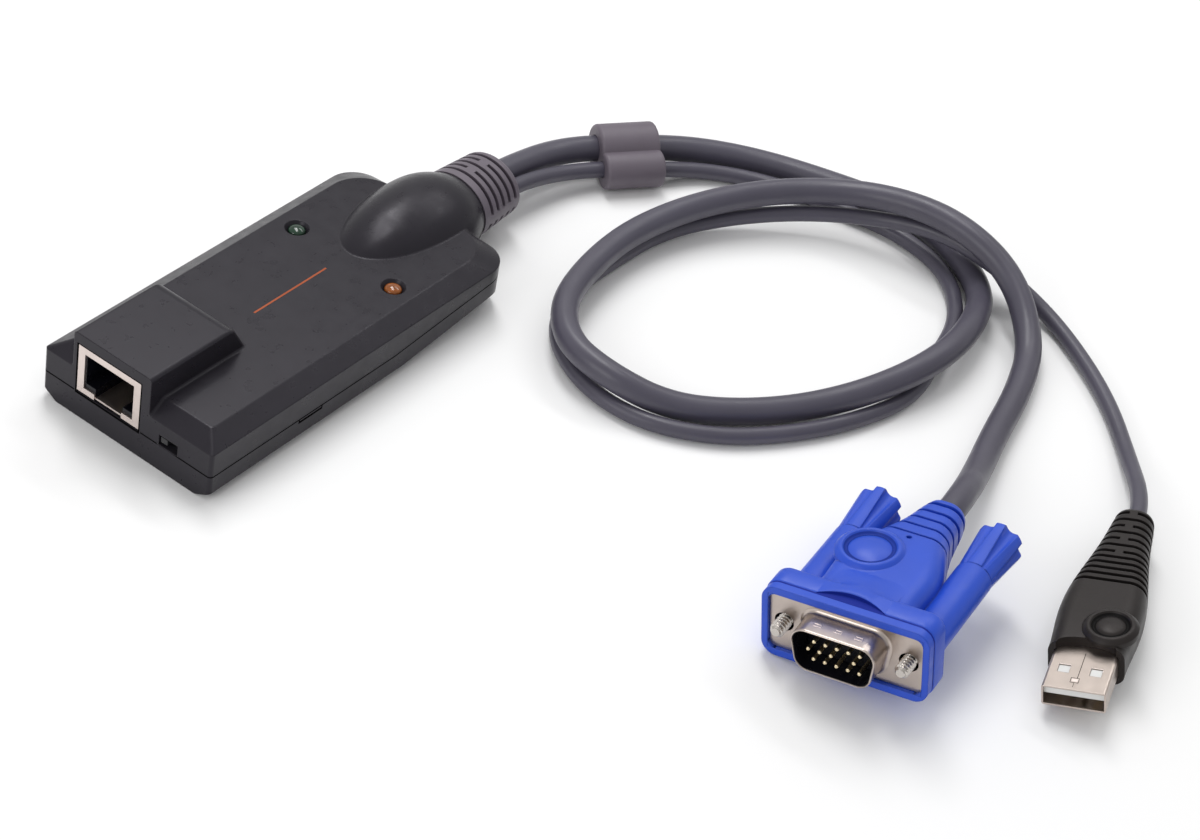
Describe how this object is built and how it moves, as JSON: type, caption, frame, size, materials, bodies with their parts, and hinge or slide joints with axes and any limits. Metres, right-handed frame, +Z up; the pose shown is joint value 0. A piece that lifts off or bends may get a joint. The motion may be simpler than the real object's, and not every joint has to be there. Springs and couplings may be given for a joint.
{
  "type": "server console adapter",
  "caption": "Plastic server console adapter with a network socket, a slotted cable boot, and looped video and data cables ending in plugs.",
  "frame": {"origin": "middle of the housing's footprint, at its base", "axes": "+X from the network socket to the cable end along the longest side, +Z up, +Y to the side of the network socket"},
  "size_m": [0.1816, 0.1973, 0.0211],
  "materials": {
    "housing_plastic": "fine matte",
    "boot_plastic": "satin",
    "cord_jacket": "satin",
    "video_plug_blue": "satin",
    "data_plug_black": "satin",
    "nickel": "bright",
    "steel_screw": "bright",
    "insulator_black": "gloss",
    "insulator_white": "satin",
    "contact_gold": "bright",
    "board_green": "satin",
    "lens_green": "gloss",
    "lens_amber": "gloss",
    "switch_metal": "satin",
    "knob_black": "satin"
  },
  "bodies": {
    "adapter": {"top_housing": "housing_plastic", "bottom_housing": "housing_plastic", "main_board": "board_green", "rj45_shield": "nickel", "rj45_insulator": "insulator_black", "rj45_contacts": "contact_gold", "led_online": "lens_green", "led_power": "lens_amber", "switch_body": "switch_metal", "cable_boot": "boot_plastic", "vga_cord": "cord_jacket", "usb_cord": "cord_jacket", "cable_collar": "boot_plastic", "vga_hood": "video_plug_blue", "vga_shell": "nickel", "vga_insulator": "insulator_black", "vga_pins": "contact_gold", "usb_hood": "data_plug_black", "usb_shell": "nickel", "usb_insulator": "insulator_white", "usb_contacts": "contact_gold"},
    "left_thumbscrew": {"vga_screw_left": "steel_screw", "vga_grip_left": "video_plug_blue"},
    "right_thumbscrew": {"vga_screw_right": "steel_screw", "vga_grip_right": "video_plug_blue"},
    "recovery_slider": {"switch_slider": "knob_black"}
  },
  "joints": [
    {"name": "left_thumbscrew_turn", "type": "hinge", "parent": "adapter", "child": "left_thumbscrew", "pos_m": [0.02076, -0.1187, 0.00823], "axis": [0.9925, 0.1219, 0], "continuous": true},
    {"name": "right_thumbscrew_turn", "type": "hinge", "parent": "adapter", "child": "right_thumbscrew", "pos_m": [0.02374, -0.14303, 0.01317], "axis": [0.9925, 0.1219, 0], "continuous": true},
    {"name": "recovery_slide", "type": "slide", "parent": "adapter", "child": "recovery_slider", "axis": [0, -1, 0], "range_m": [0, 0.002]}
  ]
}
